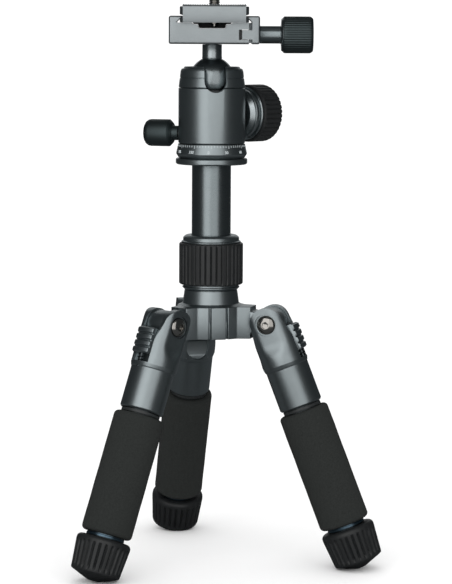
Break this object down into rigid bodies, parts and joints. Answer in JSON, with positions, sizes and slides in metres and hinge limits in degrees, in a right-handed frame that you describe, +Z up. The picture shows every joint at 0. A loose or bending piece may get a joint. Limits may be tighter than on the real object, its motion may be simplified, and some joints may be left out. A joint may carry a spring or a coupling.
{
  "type": "table tripod",
  "caption": "Table-top camera tripod with three folding legs, a sliding column, a ball head and a dovetail quick-release clamp and plate.",
  "frame": {"origin": "on the ground, under the middle of the bounding box of the tripod standing with its legs spread", "axes": "+Z up along the column; -Y is the front, where the ball head's drop notch opens, +X to the right of it"},
  "size_m": [0.1722, 0.171, 0.3199],
  "materials": {
    "gunmetal_anodised": "satin bead-blasted and anodised, dark grey-green",
    "grey_anodised": "satin anodised, mid grey",
    "black_anodised": "smooth black anodised",
    "blue_anodised": "satin anodised, blue-grey",
    "polished_steel": "polished stainless steel",
    "black_rubber": "matt moulded rubber with ribs",
    "foam": "matt closed-cell foam",
    "black_nylon": "moulded nylon"
  },
  "bodies": {
    "crown": {"crown": "gunmetal_anodised", "column_collet": "black_nylon"},
    "twist_collar": {"twist_collar": "gunmetal_anodised", "twist_collar_grip": "black_rubber"},
    "column": {"column_tube": "gunmetal_anodised", "column_end_plug": "black_nylon", "head_platform": "gunmetal_anodised", "head_stud": "polished_steel", "pan_base": "gunmetal_anodised"},
    "pan_housing": {"ball_housing": "gunmetal_anodised", "housing_cap": "gunmetal_anodised", "ball_cup": "black_nylon"},
    "ball": {"ball": "black_anodised"},
    "neck": {"neck": "gunmetal_anodised"},
    "clamp": {"clamp_base": "grey_anodised", "clamp_centre_screw": "polished_steel"},
    "jaw": {"clamp_jaw": "grey_anodised", "jaw_guide_pin_front": "polished_steel", "jaw_guide_pin_rear": "polished_steel"},
    "clamp_knob": {"clamp_knob": "gunmetal_anodised", "clamp_screw": "polished_steel"},
    "plate": {"camera_plate": "grey_anodised", "plate_pad": "black_rubber"},
    "camera_screw": {"camera_screw": "polished_steel"},
    "main_knob": {"main_knob_hub": "gunmetal_anodised", "main_knob_grip": "black_rubber", "main_knob_shaft": "polished_steel"},
    "pan_knob": {"pan_knob": "gunmetal_anodised", "pan_lock_screw": "polished_steel"},
    "leg_1": {"leg_shoulder_1": "gunmetal_anodised", "pivot_bolt_1": "polished_steel", "pivot_nut_1": "polished_steel", "angle_lock_pin_1": "polished_steel", "leg_tube_1": "black_anodised", "grip_top_ring_1": "black_nylon", "foam_grip_1": "foam", "foot_ring_1": "blue_anodised", "rubber_foot_1": "black_rubber"},
    "angle_lock_1": {"angle_lock_slide_1": "gunmetal_anodised"},
    "leg_2": {"leg_shoulder_2": "gunmetal_anodised", "pivot_bolt_2": "polished_steel", "pivot_nut_2": "polished_steel", "angle_lock_pin_2": "polished_steel", "leg_tube_2": "black_anodised", "grip_top_ring_2": "black_nylon", "foam_grip_2": "foam", "foot_ring_2": "blue_anodised", "rubber_foot_2": "black_rubber"},
    "angle_lock_2": {"angle_lock_slide_2": "gunmetal_anodised"},
    "leg_3": {"leg_shoulder_3": "gunmetal_anodised", "pivot_bolt_3": "polished_steel", "pivot_nut_3": "polished_steel", "angle_lock_pin_3": "polished_steel", "leg_tube_3": "black_anodised", "grip_top_ring_3": "black_nylon", "foam_grip_3": "foam", "foot_ring_3": "blue_anodised", "rubber_foot_3": "black_rubber"},
    "angle_lock_3": {"angle_lock_slide_3": "gunmetal_anodised"}
  },
  "joints": [
    {"name": "leg_1_spread", "type": "hinge", "parent": "crown", "child": "leg_1", "pos_m": [-0.01883, 0.02208, 0.13686], "axis": [0.9703, 0.2419, 0], "range_deg": [-21.5, 58]},
    {"name": "angle_lock_1_pull", "type": "slide", "parent": "leg_1", "child": "angle_lock_1", "axis": [-0.0889, 0.3566, -0.93], "range_m": [0, 0.003], "stiffness_N_per_m": 300, "springref_m": -0.002},
    {"name": "leg_2_spread", "type": "hinge", "parent": "crown", "child": "leg_2", "pos_m": [-0.03549, -0.03603, 0.13686], "axis": [-0.6947, 0.7193, 0], "range_deg": [-21.5, 58]},
    {"name": "angle_lock_2_pull", "type": "slide", "parent": "leg_2", "child": "angle_lock_2", "axis": [-0.2643, -0.2553, -0.93], "range_m": [0, 0.003], "stiffness_N_per_m": 300, "springref_m": -0.002},
    {"name": "leg_3_spread", "type": "hinge", "parent": "crown", "child": "leg_3", "pos_m": [0.02317, -0.02141, 0.13686], "axis": [-0.2756, -0.9613, 0], "range_deg": [-21.5, 58]},
    {"name": "angle_lock_3_pull", "type": "slide", "parent": "leg_3", "child": "angle_lock_3", "axis": [0.3532, -0.1013, -0.93], "range_m": [0, 0.003], "stiffness_N_per_m": 300, "springref_m": -0.002},
    {"name": "twist_collar_turn", "type": "hinge", "parent": "crown", "child": "twist_collar", "pos_m": [-0.01038, -0.01179, 0.17], "axis": [0, 0, 1], "range_deg": [0, 90]},
    {"name": "column_slide", "type": "slide", "parent": "crown", "child": "column", "axis": [0, 0, 1], "range_m": [-0.038, 0]},
    {"name": "pan", "type": "hinge", "parent": "column", "child": "pan_housing", "pos_m": [-0.01038, -0.01179, 0.23716], "axis": [0, 0, 1], "continuous": true},
    {"name": "ball_roll", "type": "hinge", "parent": "pan_housing", "child": "ball", "pos_m": [-0.01038, -0.01179, 0.27266], "axis": [0.1219, -0.9925, 0], "range_deg": [-20, 20]},
    {"name": "ball_pitch", "type": "hinge", "parent": "ball", "child": "neck", "pos_m": [-0.01038, -0.01179, 0.27266], "axis": [0.9925, 0.1219, 0], "range_deg": [-20, 90]},
    {"name": "ball_turn", "type": "hinge", "parent": "neck", "child": "clamp", "pos_m": [-0.01038, -0.01179, 0.27266], "axis": [0, 0, 1], "continuous": true},
    {"name": "main_lock_turn", "type": "hinge", "parent": "pan_housing", "child": "main_knob", "pos_m": [-0.01038, -0.01179, 0.25326], "axis": [0.7431, 0.6691, 0], "range_deg": [-120, 60]},
    {"name": "pan_lock_turn", "type": "hinge", "parent": "pan_housing", "child": "pan_knob", "pos_m": [-0.01038, -0.01179, 0.24246], "axis": [-0.9563, 0.2924, 0], "range_deg": [-180, 90]},
    {"name": "jaw_slide", "type": "slide", "parent": "clamp", "child": "jaw", "axis": [1, 0, 0], "range_m": [0, 0.003]},
    {"name": "clamp_knob_turn", "type": "hinge", "parent": "jaw", "child": "clamp_knob", "pos_m": [-0.00918, -0.01179, 0.29766], "axis": [1, 0, 0], "range_deg": [0, 1350]},
    {"name": "plate_slide", "type": "slide", "parent": "clamp", "child": "plate", "axis": [0, 1, 0], "range_m": [-0.02, 0.02]},
    {"name": "camera_screw_turn", "type": "hinge", "parent": "plate", "child": "camera_screw", "pos_m": [-0.00918, -0.01179, 0.30456], "axis": [0, 0, 1], "continuous": true}
  ],
  "couplings": [
    {"joint": "clamp_knob_turn", "follows": "jaw_slide", "rad_per_m": 7854}
  ]
}
